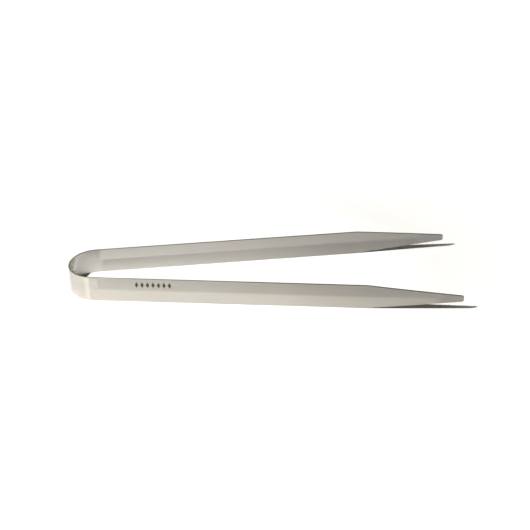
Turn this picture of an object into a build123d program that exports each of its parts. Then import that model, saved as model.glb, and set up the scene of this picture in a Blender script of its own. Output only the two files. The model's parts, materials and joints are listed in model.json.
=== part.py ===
from build123d import *
from math import cos, radians, sin
import os

# Stamp tongs: one strip of stainless steel, standing on its long edges.
# A half-round bow at one end springs two arms apart. Each arm is stiffened by
# a fold along it, just above its middle, and ends in a tapered, blunt blade
# with a flat pad.
# The strip bends where the bow meets an arm, so it is divided there.
#
# Frame: the origin is on the resting plane, under the middle of the tongs.
# +X runs from the bow to the tips, +Y to the rear arm, +Z up.

# Driving dimensions, in millimetres and degrees
overall_length = 150.0  # outside of the bow to the tips, along X
strip_width = 10.0
strip_thickness = 0.6
bow_radius = 10.8  # to the outside of the strip
splay_angle = 5.5  # of each relaxed arm, from the X axis
fold_run_in = 3.0  # from the bow, over which the fold rises to its full depth
fold_depth = 0.7  # by which the fold stands outwards from the edges
fold_line_offset = 0.2  # of the fold above the middle of the strip
blade_length = 36.0  # tapered end of an arm, along its middle
toe_in_angle = 1.4  # by which a blade bends inwards
fold_run_out = 3.0  # over which the fold dies out before the pad
pad_length = 8.5  # flat end of the blade
tip_width = 2.5
tip_corner_radius = 0.6
hinge_clearance = 0.03  # between an arm's round root and the bow

# The bow's centre, and the axis about which the rear arm springs
half_thickness = strip_thickness / 2
middle_radius = bow_radius - half_thickness
bow_centre_x = bow_radius - overall_length / 2
hinge_x = bow_centre_x - middle_radius * sin(radians(splay_angle))
hinge_y = middle_radius * cos(radians(splay_angle))

# The middle line of an arm runs straight from the hinge to the blade, turns
# inwards on a large arc, and is straight again from the end of the fold.
end_run = fold_run_out + pad_length
bend_run = blade_length - end_run
bend_radius = bend_run / radians(toe_in_angle)
tip_angle = splay_angle - toe_in_angle
tip_x = overall_length / 2 - half_thickness * sin(radians(tip_angle))
bend_reach = bend_radius * (sin(radians(splay_angle)) - sin(radians(tip_angle)))
end_reach = end_run * cos(radians(tip_angle))
straight_run = (tip_x - hinge_x - bend_reach - end_reach) / cos(radians(splay_angle))


def across(distance):
    """Plane across an arm, at this distance from the hinge along its middle line.

    The arm lies along +X with its outer side towards +Y. In the plane, x points
    outwards and y up.
    """
    bent = min(max(distance - straight_run, 0.0), bend_run)
    turn = bent / bend_radius
    past = max(distance - straight_run - bend_run, 0.0)
    x = min(distance, straight_run) + bend_radius * sin(turn) + past * cos(turn)
    y = bend_radius * (cos(turn) - 1.0) - past * sin(turn)
    return Plane(
        origin=(x, y, 0.0),
        x_dir=(sin(turn), cos(turn), 0.0),
        z_dir=(cos(turn), -sin(turn), 0.0),
    )


def section(distance, depth, sink=0.0):
    """The strip's section there, with its fold standing outwards by the depth.

    The sink moves the whole section inwards.
    """
    fold_line = strip_width / 2 + fold_line_offset
    inner = -half_thickness - sink
    outer = half_thickness - sink
    corners = [
        (inner, 0.0),
        (outer, 0.0),
        (outer + depth, fold_line),
        (outer, strip_width),
        (inner, strip_width),
        (inner + depth, fold_line),
    ]
    return across(distance) * make_face(Polyline(*corners, close=True))


def blade_outline():
    """Prism that trims an arm's sides to the taper and rounds the tip's corners."""
    end = across(straight_run + blade_length)
    side_on = Plane(origin=end.origin, x_dir=end.z_dir, z_dir=-end.x_dir)
    behind = -2 * overall_length
    corners = [
        (0.0, (strip_width - tip_width) / 2),
        (0.0, (strip_width + tip_width) / 2),
        (-blade_length, strip_width),
        (behind, strip_width),
        (behind, 0.0),
        (-blade_length, 0.0),
    ]
    outline = make_face(Polyline(*corners, close=True))
    tip_corners = outline.vertices().sort_by(Axis.X)[-2:]
    outline = fillet(tip_corners, tip_corner_radius)
    return extrude(side_on * outline, amount=strip_width, both=True)


def make_arm():
    """An arm along +X from its hinge axis, with its outer side towards +Y."""
    fold_end = straight_run + bend_run
    pad_start = fold_end + fold_run_out
    # Where the taper has trimmed the fold's sides, its section sinks by what they
    # have lost, so that the blade's edges run level into the pad.
    sink = fold_depth * (1.0 - tip_width / strip_width) * bend_run / blade_length
    round_root = Cylinder(
        half_thickness,
        strip_width,
        align=(Align.CENTER, Align.CENTER, Align.MIN),
    )
    run_in = loft([section(0.0, 0.0), section(fold_run_in, fold_depth)], ruled=True)
    shank = extrude(section(fold_run_in, fold_depth), straight_run - fold_run_in)
    blade_start = section(straight_run, fold_depth)
    blade_end = section(fold_end, fold_depth, sink)
    blade = loft([blade_start, blade_end], ruled=True)
    run_out = loft([blade_end, section(pad_start, 0.0)], ruled=True)
    pad = extrude(section(pad_start, 0.0), pad_length)
    strip = round_root + run_in + shank + blade + run_out + pad
    return strip & blade_outline()


def make_bow():
    """The half-round spring, hollowed at both ends for the arms' round roots."""
    wall = Rectangle(strip_thickness, strip_width, align=(Align.MAX, Align.MIN))
    wall = Plane.XZ * Pos(bow_radius, 0.0) * wall
    wall = Rot(0.0, 0.0, 90.0 + splay_angle) * wall
    bow = revolve(wall, Axis.Z, 180.0 - 2 * splay_angle)
    bow = Pos(bow_centre_x, 0.0, 0.0) * bow
    hollow = Cylinder(half_thickness + hinge_clearance, 3 * strip_width)
    for side in (1, -1):
        bow -= Pos(hinge_x, side * hinge_y, 0.0) * hollow
    return bow


bow = make_bow()
rear_arm = Pos(hinge_x, hinge_y, 0.0) * Rot(0.0, 0.0, splay_angle) * make_arm()
front_arm = mirror(rear_arm, about=Plane.XZ)

os.makedirs("parts", exist_ok=True)
export_step(bow, "parts/bow.step")
export_step(rear_arm, "parts/rear_arm.step")
export_step(front_arm, "parts/front_arm.step")

print("hinge axis of the rear arm", round(hinge_x, 4), round(hinge_y, 4))
print("straight run of an arm", round(straight_run, 4))
print("end of the rear arm's middle line", round(tip_x, 4))
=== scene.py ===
import json
from math import atan2, ceil, cos, pi, radians, sin, sqrt

import bpy
from mathutils import Matrix, Vector


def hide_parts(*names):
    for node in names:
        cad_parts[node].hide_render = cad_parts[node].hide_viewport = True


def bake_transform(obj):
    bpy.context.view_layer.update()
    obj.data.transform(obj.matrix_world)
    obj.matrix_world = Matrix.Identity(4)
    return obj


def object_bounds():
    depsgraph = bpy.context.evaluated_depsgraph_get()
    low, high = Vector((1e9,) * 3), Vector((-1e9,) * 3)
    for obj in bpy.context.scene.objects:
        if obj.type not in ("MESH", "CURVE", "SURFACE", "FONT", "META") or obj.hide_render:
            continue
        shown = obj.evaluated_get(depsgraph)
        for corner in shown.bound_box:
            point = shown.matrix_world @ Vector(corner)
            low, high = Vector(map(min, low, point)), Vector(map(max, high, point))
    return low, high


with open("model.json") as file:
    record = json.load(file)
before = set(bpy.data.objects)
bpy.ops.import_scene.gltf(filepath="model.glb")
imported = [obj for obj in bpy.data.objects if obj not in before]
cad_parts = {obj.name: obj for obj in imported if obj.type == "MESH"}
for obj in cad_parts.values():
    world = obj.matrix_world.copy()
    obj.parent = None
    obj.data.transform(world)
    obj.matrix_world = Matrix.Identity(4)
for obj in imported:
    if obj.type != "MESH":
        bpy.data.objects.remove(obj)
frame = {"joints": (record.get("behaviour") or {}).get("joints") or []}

# Stamp tongs of brushed stainless strip, in metres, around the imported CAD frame.
# The real strip is one piece. Here it is two closed meshes that meet at the top of
# the bow, because each may bend from the bow into only one arm.

cad_low, cad_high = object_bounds()

# The frame: the CAD box, and the hinge axis between the bow and the rear arm
rear_joint = next(j for j in frame["joints"] if j["name"] == "rear_arm_flex")
hinge_x, hinge_y = rear_joint["pos_m"][:2]
strip_width = cad_high.z
half_width = strip_width / 2

# The strip, as in the CAD source
strip_thickness = 0.0006
fold_run_in = 0.0030
fold_depth = 0.0007
fold_line_offset = 0.0002
blade_length = 0.0360
toe_in_angle = radians(1.4)
fold_run_out = 0.0030
pad_length = 0.0085
tip_half_width = 0.00125
tip_corner_radius = 0.0006

# The key light, a small one near the bow
key_place = (-0.206, -0.113, 0.285)
key_target = (-0.02, 0.0, 0.0)
key_size = 0.020
key_power = 2.35
key_colour = (1.0, 0.985, 0.96)

# The dome, and its strength at the horizon and overhead
dome_colour = (1.0, 0.935, 0.76)
horizon_strength = 0.01
overhead_strength = 0.145

# The floor glows away from the tongs, from one distance to another
glow_start = 0.072
glow_full = 0.22

# What the camera sees of the floor is brighter away from the key, up to a limit, so
# that the key's own falloff doesn't show
even_distance = 0.337
even_brightness = 0.575
even_limit = 0.97

# What the floor sends to the steel: darker in front of the tongs than under them
dark_floor_y = -0.075
dark_floor_brightness = 0.50
pale_floor_y = -0.022
pale_floor_brightness = 0.90

# A row of small etched lozenges on the front arm, measured along the strip from
# the top of the bow, and up from the strip's middle
ornament_start = 0.0320
ornament_pitch = 0.0021
ornament_count = 7
ornament_height = 0.0026
ornament_half_length = 0.00068
ornament_half_height = 0.00120
ornament_blur = 0.15

# Colours of the steel: the darkest and the lightest of its grind, in plain and in warm
# patches, then a painted tint of reflected light on its inner face, painted light and shade on
# its rims, and the etched lozenges
plain_steel = ((0.374, 0.364, 0.333), (0.473, 0.464, 0.430))
warm_steel = ((0.384, 0.358, 0.318), (0.482, 0.455, 0.410))
painted_inner_tint = (0.99, 1.0, 1.025)
white = (1.0, 1.0, 1.0)
painted_rim_tone_at_apex = (0.400, 0.386, 0.356)
painted_rim_shade_on_arm = (0.190, 0.183, 0.168)
etched_colour = (0.085, 0.078, 0.068)

# Gloss of the steel: roughness of the smoothest and roughest grind and what wear adds,
# how directed the sheen is, and how much broader it is on the bow
smoothest = 0.235
roughest = 0.275
dull_roughness = 0.35
arm_directedness = 0.93
bow_directedness = 0.98
dull_directedness = 0.1
bow_spread = 1.03
tone_reach = 0.35

# Painted light and shade along the strip: distance from the top of the bow in millimetres,
# then the lower and upper half of the inner face, and of the outer face. It paints in the
# reflected light and shade of surroundings that this studio leaves out, so it isn't a colour of
# the steel.
painted_shade_tones = [
    (0, 0.74, 1.45, 0.78, 0.77),
    (4, 0.75, 1.22, 0.82, 0.80),
    (5.5, 0.72, 0.82, 0.94, 0.82),
    (7, 0.72, 0.75, 1.02, 0.92),
    (10, 0.87, 0.84, 1.14, 1.01),
    (14, 1.02, 1.10, 1.00, 0.95),
    (17, 1.00, 0.98, 0.91, 0.80),
    (19, 1.09, 0.90, 0.96, 0.95),
    (30, 1.11, 0.92, 0.99, 0.98),
    (60, 1.08, 0.94, 1.04, 1.07),
    (90, 1.00, 0.90, 1.09, 1.09),
    (116, 0.83, 0.87, 1.01, 1.02),
    (145, 0.80, 0.81, 1.02, 1.02),
    (149, 0.75, 0.79, 0.86, 0.85),
]

# The largest factor in the table of painted light and shade
strongest_painted_shade = 2.0

# Heights from the strip's middle between which the painted shade of the lower half gives way to
# that of the upper half
inner_painted_shade_change = (-0.0003, 0.0008)
outer_painted_shade_change = (-0.0030, 0.0004)

# Softer detail that the CAD model leaves out
edge_radius = 0.00015
outer_ridge_softness = 0.00035
inner_valley_softness = 0.00030

# Spacing of the mesh lines along the strip
bow_step = 0.00028
fold_step = 0.00030
straight_step = 0.0020
blade_step = 0.0012
pad_step = 0.0008
corner_step = 0.00009
edge_steps = 5

# The bow's outer radius, so that its end lies on the box and its middle radius
# meets the hinge axis, and from it the arms' splay. The box is even about the
# origin, and only its tip end is exact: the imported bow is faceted.
half_thickness = strip_thickness / 2
bow_end_x = -cad_high.x
end_to_hinge = bow_end_x - hinge_x
bow_radius = (half_thickness**2 - end_to_hinge**2 - hinge_y**2) / (
    2 * end_to_hinge + strip_thickness
)
bow_centre_x = bow_end_x + bow_radius
middle_radius = bow_radius - half_thickness
splay_angle = atan2(bow_centre_x - hinge_x, hinge_y)

# Runs of the middle line, from the top of the bow to the tip
bow_run = middle_radius * (pi / 2 - splay_angle)
end_run = fold_run_out + pad_length
bend_run = blade_length - end_run
bend_radius = bend_run / toe_in_angle
tip_angle = splay_angle - toe_in_angle
tip_x = cad_high.x - half_thickness * sin(tip_angle)
bend_reach = bend_radius * (sin(splay_angle) - sin(tip_angle))
straight_run = (tip_x - hinge_x - bend_reach - end_run * cos(tip_angle)) / cos(splay_angle)
blade_start = bow_run + straight_run
half_length = blade_start + blade_length
ornament_end = ornament_start + ornament_count * ornament_pitch

# Where the sheen of the bow turns into that of the arm
sheen_change_start = bow_run - 0.002
sheen_change_end = bow_run + 0.004


def soft_ramp(value):
    """0 below 0, 1 above 1, and between them a straight rise with rounded ends."""
    value = min(max(value, 0.0), 1.0)
    end = 0.3
    steep = 1.0 / (1.0 - end)
    if value < end:
        return steep * value**2 / (2 * end)
    if value > 1.0 - end:
        return 1.0 - steep * (1.0 - value) ** 2 / (2 * end)
    return steep * (value - end / 2)


def middle_line(distance):
    """Point, direction and outward normal of the rear half's middle line."""
    if distance <= bow_run:
        turn = distance / middle_radius
        outward = Vector((-cos(turn), sin(turn), 0.0))
        point = Vector((bow_centre_x, 0.0, 0.0)) + middle_radius * outward
        return point, Vector((sin(turn), cos(turn), 0.0)), outward
    along = distance - bow_run
    bent = min(max(along - straight_run, 0.0), bend_run)
    turn = bent / bend_radius
    past = max(along - straight_run - bend_run, 0.0)
    x = min(along, straight_run) + bend_radius * sin(turn) + past * cos(turn)
    y = bend_radius * (cos(turn) - 1.0) - past * sin(turn)
    place = Matrix.Rotation(splay_angle, 3, "Z")
    point = Vector((hinge_x, hinge_y, 0.0)) + place @ Vector((x, y, 0.0))
    direction = place @ Vector((cos(turn), -sin(turn), 0.0))
    return point, direction, Vector((-direction.y, direction.x, 0.0))


def side_half_width(distance):
    """Half the strip's width there: even as far as the blade, then tapered."""
    share = min(max((distance - blade_start) / blade_length, 0.0), 1.0)
    return half_width + (tip_half_width - half_width) * share


def fold_height(distance):
    """How far the fold's crest stands outwards there."""
    rise = soft_ramp((distance - bow_run) / fold_run_in)
    fall = soft_ramp((half_length - pad_length - distance) / fold_run_out)
    return fold_depth * rise * fall


def fold_offset(distance, across, softness):
    """Outward offset of a face at this place, with the fold's crest rounded.

    The fold stands highest on its own line, and falls to nothing at both edges.
    The blade keeps the slopes, so it sinks by what its taper trims from them.
    """
    from_line = across - fold_line_offset
    reach = half_width - fold_line_offset if from_line > 0.0 else half_width + fold_line_offset
    rounding = 1.0 - softness / half_width
    fall = sqrt(from_line**2 + softness**2) - softness
    share = rounding * (1.0 - fall / (sqrt(reach**2 + softness**2) - softness))
    trimmed = 1.0 - side_half_width(distance) / half_width
    return fold_height(distance) * (share - trimmed)


def round_corner(side_gap, end_gap):
    """Moves a point near a tip corner, so that the outline turns on an arc.

    Both gaps are distances inwards, from the side and from the end. The third
    and fourth results are the outline's outward direction there.
    """
    radius = tip_corner_radius
    inset = min(side_gap, end_gap)
    if side_gap >= radius and end_gap >= radius:
        return side_gap, end_gap, 0.0, 0.0
    if side_gap >= radius:
        return side_gap, end_gap, 0.0, 1.0
    if end_gap >= radius:
        return side_gap, end_gap, 1.0, 0.0
    arc = radius - inset
    share = 0.5
    if arc > 0.0 and side_gap <= end_gap:
        share = 0.5 * (radius - end_gap) / arc
    elif arc > 0.0:
        share = 1.0 - 0.5 * (radius - side_gap) / arc
    turn = share * pi / 2
    return radius - arc * cos(turn), radius - arc * sin(turn), cos(turn), sin(turn)


def edge_insets():
    """Distances from the outline at which the rounded edge has its mesh lines."""
    turns = [pi / 2 * i / edge_steps for i in range(edge_steps + 1)]
    return [edge_radius * (1.0 - cos(turn)) for turn in turns]


def evenly(start, end, step):
    """Places from start up to, but not including, end, about a step apart."""
    count = ceil((end - start) / step)
    return [start + (end - start) * i / count for i in range(count)]


def stations():
    """Distances along the middle line at which the mesh has a ring of points."""
    fold_full = bow_run + fold_run_in
    pad_start = half_length - pad_length
    run_out_start = pad_start - fold_run_out
    corner_start = half_length - tip_corner_radius
    places = evenly(0.0, bow_run, bow_step)
    places += evenly(bow_run, fold_full, fold_step)
    places += evenly(fold_full, blade_start, straight_step)
    places += evenly(blade_start, run_out_start, blade_step)
    places += evenly(run_out_start, pad_start, fold_step)
    places += evenly(pad_start, corner_start, pad_step)
    places += evenly(corner_start, half_length - edge_radius, corner_step)
    return places + [half_length - inset for inset in reversed(edge_insets())]


def rows(width):
    """Places across the strip, from its lower to its upper edge, for a half width.

    They are closest together at the fold line and at the two edges.
    """
    inner = width - edge_radius
    shares = [0.0, 0.02, 0.04, 0.07, 0.11, 0.17, 0.26, 0.38, 0.52, 0.68, 0.84, 1.0]
    line = fold_line_offset
    flat = [line - (inner + line) * share for share in reversed(shares)]
    flat += [line + (inner - line) * share for share in shares[1:]]
    rim = [width - inset for inset in reversed(edge_insets()[:-1])]
    return [-place for place in reversed(rim)] + flat + rim


def face_point(distance, across, outer):
    """Place, normal, strip coordinates and edge distance of one point of a face.

    outer is 1 on the outer face and -1 on the inner one.
    """
    side = 1.0 if across >= 0.0 else -1.0
    side_gap = side_half_width(distance) - abs(across)
    end_gap = half_length - distance
    side_gap, end_gap, side_share, end_share = round_corner(side_gap, end_gap)
    distance = half_length - end_gap
    across = side * (side_half_width(distance) - side_gap)
    inset = min(side_gap, end_gap)
    if 0.0 < side_share < 1.0 and 0.0 < end_share < 1.0:
        inset = tip_corner_radius - sqrt(
            (tip_corner_radius - side_gap) ** 2 + (tip_corner_radius - end_gap) ** 2
        )
    softness = outer_ridge_softness if outer > 0 else inner_valley_softness
    height = fold_offset(distance, across, softness)
    lean = sqrt(max(0.0, edge_radius**2 - max(0.0, edge_radius - inset) ** 2)) / edge_radius
    level = half_thickness - edge_radius + edge_radius * lean
    point, direction, outward = middle_line(distance)
    place = point + outward * (height + outer * level)
    place.z = half_width + across

    small = 0.000005
    slope_along = (
        fold_offset(distance + small, across, softness)
        - fold_offset(distance - small, across, softness)
    ) / (2 * small)
    slope_across = (
        fold_offset(distance, across + small, softness)
        - fold_offset(distance, across - small, softness)
    ) / (2 * small)
    up = Vector((0.0, 0.0, 1.0))
    flat = (outward - slope_along * direction - slope_across * up).normalized()
    if inset >= edge_radius:
        return place, outer * flat, distance, across, inset
    taper = (half_width - tip_half_width) / blade_length if distance > blade_start else 0.0
    if side_share == 0.0 and end_share == 0.0:
        side_share = 1.0
    beyond = side_share * (side * up + taper * direction) + end_share * direction
    beyond = (beyond - beyond.dot(flat) * flat).normalized()
    normal = outer * lean * flat + sqrt(max(0.0, 1.0 - lean**2)) * beyond
    return place, normal.normalized(), distance, across, inset


def strip_faces(column_count, row_count):
    """Faces of a closed strip whose outer grid of points comes before its inner one.

    The second result is where the faces of the cap at the first column start.
    """
    inner_start = column_count * row_count

    def quad(*corners):
        return [face * inner_start + column * row_count + row for face, column, row in corners]

    faces = []
    for i in range(column_count - 1):
        for j in range(row_count - 1):
            faces.append(quad((0, i, j), (0, i, j + 1), (0, i + 1, j + 1), (0, i + 1, j)))
            faces.append(quad((1, i, j), (1, i + 1, j), (1, i + 1, j + 1), (1, i, j + 1)))
        for j, turned in ((0, False), (row_count - 1, True)):
            rim = quad((0, i, j), (0, i + 1, j), (1, i + 1, j), (1, i, j))
            faces.append(rim[::-1] if turned else rim)
    cap_start = len(faces) + row_count - 1
    for i, turned in ((column_count - 1, False), (0, True)):
        for j in range(row_count - 1):
            cap = quad((0, i, j), (0, i, j + 1), (1, i, j + 1), (1, i, j))
            faces.append(cap[::-1] if turned else cap)
    return faces, cap_start


def strip_half(name, side):
    """One half of the strip, from the top of the bow to a tip, as a closed mesh.

    side is 1 for the rear half and -1 for the front half, its mirror image.
    """
    mirror = Vector((1.0, side, 1.0))
    places, normals, facts = [], [], []
    columns = stations()
    for outer in (1, -1):
        for distance in columns:
            for across in rows(side_half_width(distance)):
                place, normal, along, over, inset = face_point(distance, across, outer)
                places.append(place * mirror)
                normals.append(normal * mirror)
                facts.append((side * along, over, inset))
    row_count = len(rows(half_width))
    inner_start = len(columns) * row_count

    faces, cap_start = strip_faces(len(columns), row_count)
    if side < 0:
        faces = [face[::-1] for face in faces]

    mesh = bpy.data.meshes.new(name)
    mesh.from_pydata([tuple(p) for p in places], [], faces)
    layer = mesh.uv_layers.new(name="strip")
    rim_layer = mesh.uv_layers.new(name="rim")
    loop_normals = []
    seam_normal = Vector((0.0, -side, 0.0))
    for polygon in mesh.polygons:
        polygon.use_smooth = True
        for loop in polygon.loop_indices:
            vertex = mesh.loops[loop].vertex_index
            along, over, inset = facts[vertex]
            layer.data[loop].uv = (along, over)
            rim_layer.data[loop].uv = (inset, 1.0 if vertex < inner_start else 0.0)
            seam = polygon.index >= cap_start
            loop_normals.append(seam_normal if seam else normals[vertex])
    mesh.normals_split_custom_set([tuple(n) for n in loop_normals])
    mesh.validate()
    piece = bpy.data.objects.new(name, mesh)
    bpy.context.scene.collection.objects.link(piece)
    return piece


def add(tree, kind, **values):
    """A shader node of this kind, with its properties set."""
    node = tree.nodes.new(kind)
    for key, value in values.items():
        setattr(node, key, value)
    return node


def separated(tree, vector):
    """The X, Y and Z sockets of a vector."""
    node = add(tree, "ShaderNodeSeparateXYZ")
    tree.links.new(vector, node.inputs[0])
    return node.outputs


def math_node(tree, operation, first, second=None):
    """A Math node on sockets or numbers."""
    node = add(tree, "ShaderNodeMath", operation=operation)
    for i, value in enumerate((first, second)):
        if isinstance(value, (int, float)):
            node.inputs[i].default_value = value
        elif value is not None:
            tree.links.new(value, node.inputs[i])
    return node.outputs[0]


def ramp(tree, value, low, high, from_low, from_high):
    """Maps a socket from one range to another, clamped."""
    node = add(tree, "ShaderNodeMapRange")
    node.inputs["From Min"].default_value = from_low
    node.inputs["From Max"].default_value = from_high
    node.inputs["To Min"].default_value = low
    node.inputs["To Max"].default_value = high
    tree.links.new(value, node.inputs["Value"])
    return node.outputs["Result"]


def streaks(tree, coordinates, length, width, detail, seed):
    """Noise drawn out along the strip, with features of this length and width."""
    scale = add(tree, "ShaderNodeMapping")
    scale.inputs["Scale"].default_value = (1.0 / length, 1.0 / width, 1.0)
    scale.inputs["Location"].default_value = (seed, seed * 0.37, seed * 1.91)
    tree.links.new(coordinates, scale.inputs["Vector"])
    noise = add(tree, "ShaderNodeTexNoise", noise_dimensions="3D")
    noise.inputs["Scale"].default_value = 1.0
    noise.inputs["Detail"].default_value = detail
    noise.inputs["Roughness"].default_value = 0.6
    tree.links.new(scale.outputs[0], noise.inputs["Vector"])
    return noise.outputs["Fac"]


def mixed(tree, factor, first, second):
    """Colour between two colours, each a tuple or a socket."""
    node = add(tree, "ShaderNodeMix", data_type="RGBA")
    tree.links.new(factor, node.inputs["Factor"])
    for i, colour in ((6, first), (7, second)):
        if isinstance(colour, tuple):
            node.inputs[i].default_value = (*colour, 1.0)
        else:
            tree.links.new(colour, node.inputs[i])
    return node.outputs[2]


def scaled(tree, colour, factor):
    """Colour multiplied by a factor."""
    node = add(tree, "ShaderNodeVectorMath", operation="SCALE")
    tree.links.new(colour, node.inputs[0])
    tree.links.new(factor, node.inputs["Scale"])
    return node.outputs[0]


def blended(tree, factor, first, second):
    """Number between two sockets."""
    node = add(tree, "ShaderNodeMix", data_type="FLOAT")
    for i, socket in ((0, factor), (2, first), (3, second)):
        tree.links.new(socket, node.inputs[i])
    return node.outputs[0]


def painted_shade_along_strip(tree, distance, column):
    """One column of the painted light and shade, at this distance from the top of the bow."""
    node = add(tree, "ShaderNodeValToRGB")
    stops = node.color_ramp.elements
    while len(stops) < len(painted_shade_tones):
        stops.new(0.5)
    for stop, row in zip(stops, painted_shade_tones):
        stop.position = row[0] * 0.001 / half_length
    for stop, row in zip(stops, painted_shade_tones):
        grey = row[column] / strongest_painted_shade
        stop.color = (grey, grey, grey, 1.0)
    tree.links.new(math_node(tree, "DIVIDE", distance, half_length), node.inputs[0])
    return math_node(tree, "MULTIPLY", node.outputs["Color"], strongest_painted_shade)


def etched_row(tree, along, over):
    """1 inside a short row of etched lozenges on the front arm, 0 elsewhere."""
    first = math_node(tree, "ADD", along, ornament_end)
    step = math_node(tree, "DIVIDE", first, ornament_pitch)
    place = math_node(tree, "SUBTRACT", math_node(tree, "FRACT", step), 0.5)
    from_middle = math_node(tree, "MULTIPLY", math_node(tree, "ABSOLUTE", place), ornament_pitch)
    height = math_node(tree, "ABSOLUTE", math_node(tree, "SUBTRACT", over, ornament_height))
    length_share = math_node(tree, "DIVIDE", from_middle, ornament_half_length)
    height_share = math_node(tree, "DIVIDE", height, ornament_half_height)
    reach = math_node(tree, "ADD", length_share, height_share)
    filled = ramp(tree, reach, 1.0, 0.0, 1.0 - ornament_blur, 1.0 + ornament_blur)
    cut = 0.01
    begun = ramp(tree, step, 0.0, 1.0, 0.0, cut)
    ended = ramp(tree, step, 1.0, 0.0, ornament_count, ornament_count + cut)
    return math_node(tree, "MULTIPLY", math_node(tree, "MULTIPLY", begun, filled), ended)


def grind_tone(tree, strip, fine):
    """Light and dark of the grind, spread evenly about 0."""
    broad = streaks(tree, strip, length=0.0250, width=0.00045, detail=2.0, seed=7.0)
    cloud = streaks(tree, strip, length=0.0120, width=0.0050, detail=3.0, seed=13.0)
    grain = math_node(tree, "MULTIPLY", math_node(tree, "SUBTRACT", fine, 0.5), 0.5)
    band = math_node(tree, "MULTIPLY", math_node(tree, "SUBTRACT", broad, 0.5), 0.5)
    mottle = math_node(tree, "MULTIPLY", math_node(tree, "SUBTRACT", cloud, 0.5), 0.4)
    return math_node(tree, "ADD", math_node(tree, "ADD", grain, band), mottle)


def ground_steel(tree, strip, tone):
    """Colour of the ground steel, with plain and slightly warmer patches."""
    patch = streaks(tree, strip, length=0.0180, width=0.0032, detail=2.0, seed=29.0)
    light_share = ramp(tree, tone, 0.0, 1.0, -tone_reach, tone_reach)
    plain = mixed(tree, light_share, *plain_steel)
    warm = mixed(tree, light_share, *warm_steel)
    return mixed(tree, ramp(tree, patch, 0.0, 1.0, 0.40, 0.64), plain, warm)


def face_colour_with_painted_shade(tree, steel, distance, over, outer):
    """The ground steel with painted light and shade along the strip and up each face, and a
    painted tint on the inner face.
    """
    painted_tones = [painted_shade_along_strip(tree, distance, column) for column in range(1, 5)]
    inside = blended(tree, ramp(tree, over, 0.0, 1.0, *inner_painted_shade_change), *painted_tones[:2])
    outside = blended(tree, ramp(tree, over, 0.0, 1.0, *outer_painted_shade_change), *painted_tones[2:])
    face = add(tree, "ShaderNodeMix", data_type="RGBA", blend_type="MULTIPLY")
    face.inputs["Factor"].default_value = 1.0
    tree.links.new(scaled(tree, steel, blended(tree, outer, inside, outside)), face.inputs[6])
    # A painted tint of reflected light on the inner face
    tree.links.new(mixed(tree, outer, painted_inner_tint, white), face.inputs[7])
    return face.outputs[2]


def brushed_steel():
    """Stainless steel with a fine grind along the strip, rougher edges darkened by painted
    shade, and painted light and shade along the strip.
    """
    material = bpy.data.materials.new("brushed_stainless")
    material.use_nodes = True
    tree = material.node_tree
    tree.nodes.clear()
    output = add(tree, "ShaderNodeOutputMaterial")
    shader = add(tree, "ShaderNodeBsdfPrincipled")
    shader.inputs["Metallic"].default_value = 1.0
    shader.inputs["Anisotropic Rotation"].default_value = 0.25
    tree.links.new(shader.outputs[0], output.inputs[0])

    strip = add(tree, "ShaderNodeUVMap", uv_map="strip").outputs[0]
    along, over, _ = separated(tree, strip)
    rim = add(tree, "ShaderNodeUVMap", uv_map="rim").outputs[0]
    inset, outer, _ = separated(tree, rim)
    tangent = add(tree, "ShaderNodeTangent", direction_type="UV_MAP", uv_map="strip")
    tree.links.new(tangent.outputs[0], shader.inputs["Tangent"])

    fine = streaks(tree, strip, length=0.0060, width=0.00006, detail=3.0, seed=1.0)
    tone = grind_tone(tree, strip, fine)
    distance = math_node(tree, "ABSOLUTE", along)
    # The grind's colour times painted light and shade along the strip and up each face
    face = face_colour_with_painted_shade(tree, ground_steel(tree, strip, tone), distance, over, outer)
    on_rim = ramp(tree, inset, 1.0, 0.0, 0.00002, edge_radius)
    from_apex = ramp(tree, distance, 0.0, 1.0, 0.004, bow_run - 0.003)
    # Painted shade on the rims: lighter near the top of the bow, dark along the arms
    colour_with_painted_rim_shade = mixed(tree, on_rim, face, mixed(tree, from_apex, painted_rim_tone_at_apex, painted_rim_shade_on_arm))
    etched = math_node(tree, "MULTIPLY", etched_row(tree, along, over), outer)
    tree.links.new(mixed(tree, etched, colour_with_painted_rim_shade, etched_colour), shader.inputs["Base Color"])

    change = (sheen_change_start, sheen_change_end)
    dull = math_node(tree, "MAXIMUM", on_rim, etched)
    rough = ramp(tree, tone, smoothest, roughest, -tone_reach, tone_reach)
    rough = math_node(tree, "MULTIPLY", rough, ramp(tree, distance, bow_spread, 1.0, *change))
    rough = math_node(tree, "ADD", rough, math_node(tree, "MULTIPLY", dull, dull_roughness))
    tree.links.new(rough, shader.inputs["Roughness"])
    directed = ramp(tree, distance, bow_directedness, arm_directedness, *change)
    kept = ramp(tree, dull, 1.0, dull_directedness, 0.0, 1.0)
    tree.links.new(math_node(tree, "MULTIPLY", directed, kept), shader.inputs["Anisotropic"])

    bump = add(tree, "ShaderNodeBump")
    bump.inputs["Strength"].default_value = 0.25
    bump.inputs["Distance"].default_value = 0.00001
    tree.links.new(fine, bump.inputs["Height"])
    tree.links.new(bump.outputs[0], shader.inputs["Normal"])
    return material


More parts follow.
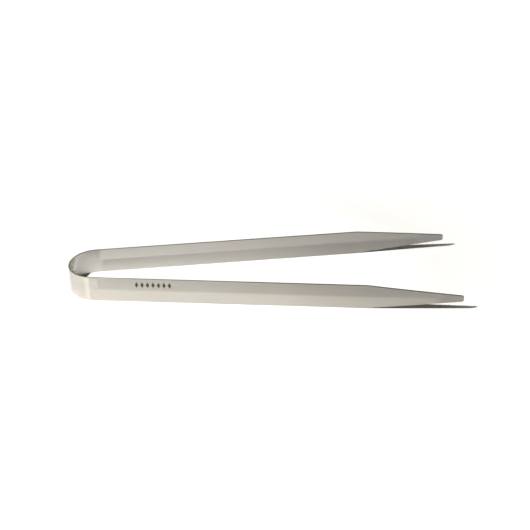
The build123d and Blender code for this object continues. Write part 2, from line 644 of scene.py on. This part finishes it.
def pale_floor():
    """Plain white floor, just under the strip's resting edges.

    Its brightness is evened out for the camera alone. What lights the steel isn't.
    """
    size = 6.0
    mesh = bpy.data.meshes.new("floor")
    corners = [(-size, -size), (size, -size), (size, size), (-size, size)]
    drop = -0.00002
    mesh.from_pydata([(x, y, drop) for x, y in corners], [], [(0, 1, 2, 3)])
    floor = bpy.data.objects.new("floor", mesh)
    bpy.context.scene.collection.objects.link(floor)
    material = bpy.data.materials.new("floor_white")
    material.use_nodes = True
    tree = material.node_tree
    shader = tree.nodes["Principled BSDF"]
    shader.inputs["Roughness"].default_value = 0.9
    shader.inputs["Specular IOR Level"].default_value = 0.0
    shader.inputs["Emission Color"].default_value = (*white, 1.0)
    place = add(tree, "ShaderNodeTexCoord").outputs["Object"]
    from_middle = add(tree, "ShaderNodeVectorMath", operation="LENGTH")
    tree.links.new(place, from_middle.inputs[0])
    glow = ramp(tree, from_middle.outputs["Value"], 0.0, 1.0, glow_start, glow_full)
    tree.links.new(glow, shader.inputs["Emission Strength"])

    from_key = add(tree, "ShaderNodeVectorMath", operation="DISTANCE")
    tree.links.new(place, from_key.inputs[0])
    from_key.inputs[1].default_value = key_place
    evening = math_node(tree, "POWER", from_key.outputs["Value"], 3.0)
    evening = math_node(tree, "MULTIPLY", evening, even_brightness / even_distance**3)
    evening = math_node(tree, "MINIMUM", evening, even_limit)
    seen = add(tree, "ShaderNodeLightPath").outputs["Is Camera Ray"]
    colour = add(tree, "ShaderNodeMix", data_type="FLOAT")
    brightness = (dark_floor_brightness, pale_floor_brightness)
    lit = ramp(tree, separated(tree, place)["Y"], *brightness, dark_floor_y, pale_floor_y)
    tree.links.new(seen, colour.inputs["Factor"])
    tree.links.new(lit, colour.inputs[2])
    tree.links.new(evening, colour.inputs[3])
    tree.links.new(colour.outputs[0], shader.inputs["Base Color"])
    mesh.materials.append(material)


def aimed(obj, place, target):
    """Puts an object at a place with its -Z axis towards the target."""
    obj.location = place
    obj.rotation_mode = "QUATERNION"
    obj.rotation_quaternion = (Vector(target) - Vector(place)).to_track_quat("-Z", "Y")
    bpy.context.scene.collection.objects.link(obj)


def studio_light():
    """A small near key light beyond the bow, and a dome that the camera sees as white."""
    key = bpy.data.lights.new("key", "AREA")
    key.shape = "DISK"
    key.size = key_size
    key.energy = key_power
    key.color = key_colour
    aimed(bpy.data.objects.new("key", key), key_place, key_target)

    world = bpy.data.worlds.new("studio")
    world.use_nodes = True
    tree = world.node_tree
    background = tree.nodes["Background"]
    background.inputs["Color"].default_value = (*dome_colour, 1.0)
    direction = add(tree, "ShaderNodeTexCoord").outputs["Generated"]
    strength = (horizon_strength, overhead_strength)
    dome = ramp(tree, separated(tree, direction)["Z"], *strength, 0.0, 1.0)
    tree.links.new(dome, background.inputs["Strength"])
    seen = add(tree, "ShaderNodeBackground")
    seen.inputs["Color"].default_value = (*white, 1.0)
    choice = add(tree, "ShaderNodeMixShader")
    tree.links.new(add(tree, "ShaderNodeLightPath").outputs["Is Camera Ray"], choice.inputs[0])
    tree.links.new(background.outputs[0], choice.inputs[1])
    tree.links.new(seen.outputs[0], choice.inputs[2])
    tree.links.new(choice.outputs[0], tree.nodes["World Output"].inputs[0])
    bpy.context.scene.world = world
    bpy.context.scene.view_settings.view_transform = "Standard"


def camera():
    """The camera, from slightly above the front, a little rolled."""
    yaw, pitch, roll = 0.01986, 0.54152, 0.01161
    place = Vector((-0.00576, -0.35345, 0.22014))
    forward = Vector((sin(yaw) * cos(pitch), cos(yaw) * cos(pitch), -sin(pitch)))
    level = Vector((cos(yaw), -sin(yaw), 0.0))
    down = -level.cross(forward)
    right = cos(roll) * level + sin(roll) * down
    lower = -sin(roll) * level + cos(roll) * down
    data = bpy.data.cameras.new("camera")
    data.sensor_width = 36.0
    data.lens = 71.8
    obj = bpy.data.objects.new("camera", data)
    axes = Matrix((right, -lower, -forward)).transposed()
    obj.matrix_world = Matrix.Translation(place) @ axes.to_4x4()
    bpy.context.scene.collection.objects.link(obj)
    bpy.context.scene.camera = obj


steel = brushed_steel()
for name, side, arm in (("rear_strip", 1, "rear_arm"), ("front_strip", -1, "front_arm")):
    piece = strip_half(name, side)
    piece.data.materials.append(steel)
    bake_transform(piece)
    if side < 0:
        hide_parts("bow", "front_arm")
    else:
        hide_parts("rear_arm")

pale_floor()
studio_light()
camera()
